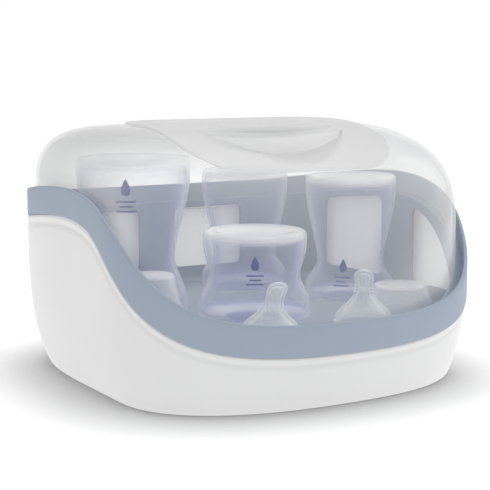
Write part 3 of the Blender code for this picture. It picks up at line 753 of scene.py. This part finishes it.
def cap_piece(name, dims):
    x, y, top, r_top, r_foot = dims
    w, z0 = 1.5, SEAT
    h = top - z0

    def side(k):
        return r_top + (r_foot - r_top) * k ** 0.8

    fall = np.linspace(0.08, 1.0, 14)
    outer = bent([(0.0, top - 0.9), (r_top * 0.62, top - 0.7), (r_top * 0.74, top - 0.1), (r_top, top - 0.1),
                  (side(0.08), top - 4.0 - (h - 4.0) * 0.08)], (0, 2, 1.5, 3.4, 0))[:-1]
    outer += [(side(k), top - 4.0 - (h - 4.0) * k) for k in fall[:-1]]
    outer += bent([(side(0.93), z0 + 3.0), (r_foot - 0.4, z0 + 2.4), (r_foot, z0 + 1.9), (r_foot, z0 + 0.1),
                   (r_foot - w, z0 + 0.1), (side(0.93) - w, z0 + 3.2)], (0, 0.4, 0.4, 0.5, 0.5, 0))[1:-1]
    inner = [(side(k) - w, top - 4.0 - (h - 4.0) * k) for k in fall[:-1][::-1]]
    inner += bent([(side(0.08) - w, top - 5.0), (r_top - w, top - 0.1 - w), (r_top * 0.6, top - 0.8 - w),
                   (0.0, top - 0.9 - w)], (0, 3.0, 2, 0))[1:]
    return lathe(name + "_look", outer + inner, CAP, (x, y), 112)


def mark_piece(name, dims, angle, z_mid, size):
    """Printed drop over three short level lines, wrapped on the bottle's side."""
    x, y, *shape = dims
    lift = 0.12
    shapes = []
    n = 40
    t = np.linspace(0.0, 2.0 * math.pi, n, endpoint=False)
    drop = np.stack([3.4 * np.sin(t) * np.sin(t / 2.0) ** 1.3, -4.6 * np.cos(t)], 1)
    shapes.append(drop * [1.0, -1.0] + [0.0, 1.6])
    for k, half in enumerate((5.2, 3.6, 5.2)):
        v = -6.2 - 2.6 * k
        bar = [(-half, v - 0.45), (half, v - 0.45), (half, v + 0.45), (-half, v + 0.45)]
        shapes.append(np.array([np.array(bar[i]) + (np.array(bar[(i + 1) % 4]) - bar[i]) * f
                                for i in range(4) for f in np.linspace(0, 1, 12, endpoint=False)]))
    verts, faces = [], []
    turn = FACING + math.radians(angle)
    for outline in shapes:
        rings = []
        for f in (1.0, 0.66, 0.33, 0.0):
            centre = outline.mean(0)
            rings.append(centre + (outline - centre) * f)
        first = len(verts)
        for loop in rings[:-1] + [rings[-1][:1]]:
            for u, v in loop * size:
                z = z_mid + v
                r = bottle_side(z, *shape) + lift
                a = turn + u / r
                verts.append((r * math.cos(a), r * math.sin(a), z))
        m = len(outline)
        for k in range(2):
            for c in range(m):
                d = (c + 1) % m
                faces.append((first + k * m + c, first + k * m + d, first + (k + 1) * m + d, first + (k + 1) * m + c))
        faces += [(first + 2 * m + c, first + 2 * m + (c + 1) % m, first + 3 * m) for c in range(m)]
    ob = mesh_piece(name, verts, faces, PRINT, 60.0, (x, y))
    thick = ob.modifiers.new("ink", "SOLIDIFY")
    thick.thickness, thick.offset = 0.00008, -1.0
    return ob


# ---------------------------------------------------------------- assembly
def nodes_named(*starts):
    return [n for n in frame["nodes"] if n.startswith(starts)]


def fit(piece, body, slot, *nodes):
    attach(piece, body)
    if nodes:
        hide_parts(*nodes)


fit(base_piece(), "base", "base_white", *nodes_named("base_"))
fit(basket_piece(), "basket", "basket_blue", *[n for n in nodes_named("basket") if n != "basket_tray"])
fit(tray_piece(), "basket", "basket_blue", *nodes_named("basket_tray"))
fit(lid_piece(), "lid", "lid_clear", "lid_shell")
fit(panel_piece(), "lid", "lid_satin", "lid_grip_panel")
for name, dims in BOTTLES.items():
    fit(bottle_piece(name, dims), "basket", "bottle_clear", name)
for name, dims in TEATS.items():
    fit(teat_piece(name, dims, name.endswith("ribbed")), "basket", "silicone", name)
for name, dims in CAPS.items():
    fit(cap_piece(name, dims), "basket", "cap_clear", name)
for name, mark in MARKS.items():
    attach(mark_piece(name.replace("bottle", "mark"), BOTTLES[name], *mark), "basket")


# ---------------------------------------------------------------- studio
def floor():
    n = 48
    edge = [(3.0 * math.cos(a), 3.0 * math.sin(a)) for a in np.linspace(0, 2 * math.pi, n, endpoint=False)]
    mesh = bpy.data.meshes.new("studio_floor")
    mesh.from_pydata([(a, b, -0.0001) for a, b in edge], [], [tuple(range(n))])
    m = Nodes("studio_floor")
    # Painted contact shadow: for camera rays the floor's glow and colour darken where ambient occlusion finds the
    # object close; other rays see the plain floor.
    near = m.node("ShaderNodeAmbientOcclusion", Distance=0.07)
    near.samples = 8
    path = m.node("ShaderNodeLightPath").outputs["Is Camera Ray"]
    shade = m.math("MAXIMUM", near.outputs["AO"], m.spread(path, 1.0, 0.0, 0.0, 1.0))
    m.link(m.spread(shade, 0.05, 0.36, 0.35, 1.0), m.bsdf.inputs["Emission Strength"])
    m.tint(m.spread(shade, 0.15, 1.0, 0.35, 1.0), colour(0.35, 0.35, 0.35), colour(0.88, 0.88, 0.88))
    m.set(Roughness=0.7, Specular_IOR_Level=0.1, Emission_Color=colour(1.0, 1.0, 1.0))
    mesh.materials.append(m.mat)
    ob = bpy.data.objects.new("studio_floor", mesh)
    bpy.context.scene.collection.objects.link(ob)


def soft_box(name, at, to, size, power, tone=(1.0, 1.0, 1.0)):
    light = bpy.data.lights.new(name, "AREA")
    light.shape, light.size, light.size_y = "RECTANGLE", size[0], size[1]
    light.energy, light.color = power, tone
    ob = bpy.data.objects.new(name, light)
    ob.location = at
    ob.rotation_euler = (Vector(to) - Vector(at)).to_track_quat("-Z", "Y").to_euler()
    bpy.context.scene.collection.objects.link(ob)


def world(seen, light, lean):
    """White surroundings: one strength for what the camera sees, and a light that grows along lean."""
    w = bpy.data.worlds.new("studio")
    bpy.context.scene.world = w
    w.use_nodes = True
    tree = w.node_tree
    first, second = tree.nodes["Background"], tree.nodes.new("ShaderNodeBackground")
    for node, strength in ((first, light), (second, seen)):
        node.inputs["Color"].default_value = colour(1.0, 1.0, 1.0)
        node.inputs["Strength"].default_value = strength
    place, dot = tree.nodes.new("ShaderNodeTexCoord"), tree.nodes.new("ShaderNodeVectorMath")
    dot.operation = "DOT_PRODUCT"
    dot.inputs[1].default_value = lean
    add = tree.nodes.new("ShaderNodeMath")
    add.operation = "ADD"
    add.inputs[1].default_value = light
    tree.links.new(place.outputs["Generated"], dot.inputs[0])
    tree.links.new(dot.outputs["Value"], add.inputs[0])
    tree.links.new(add.outputs[0], first.inputs["Strength"])
    path, mix = tree.nodes.new("ShaderNodeLightPath"), tree.nodes.new("ShaderNodeMixShader")
    tree.links.new(path.outputs["Is Camera Ray"], mix.inputs[0])
    tree.links.new(first.outputs[0], mix.inputs[1])
    tree.links.new(second.outputs[0], mix.inputs[2])
    tree.links.new(mix.outputs[0], tree.nodes["World Output"].inputs["Surface"])


def camera():
    data = bpy.data.cameras.new("camera")
    data.lens, data.sensor_width = LENS, SENSOR
    data.clip_start, data.clip_end = 0.01, 50.0
    ob = bpy.data.objects.new("camera", data)
    ob.location = CAMERA_AT
    ob.rotation_euler = (Vector(CAMERA_TO) - Vector(CAMERA_AT)).to_track_quat("-Z", "Y").to_euler()
    bpy.context.scene.collection.objects.link(ob)
    bpy.context.scene.camera = ob


floor()
world(1.0, 0.68, (0.16, 0.05, 0.20))
soft_box("soft_box_left", (-1.2, 0.2, 0.7), (0.0, 0.0, 0.08), (0.9, 0.9), 0.5)
soft_box("soft_box_right", (1.2, -0.1, 0.8), (0.0, 0.0, 0.08), (0.9, 0.9), 2.3)
soft_box("soft_box_top", (0.0, 0.1, 1.3), (0.0, 0.0, 0.0), (1.2, 1.2), 1.6)
camera()
scene = bpy.context.scene
scene.view_settings.view_transform = "Standard"
scene.cycles.transparent_max_bounces = 24
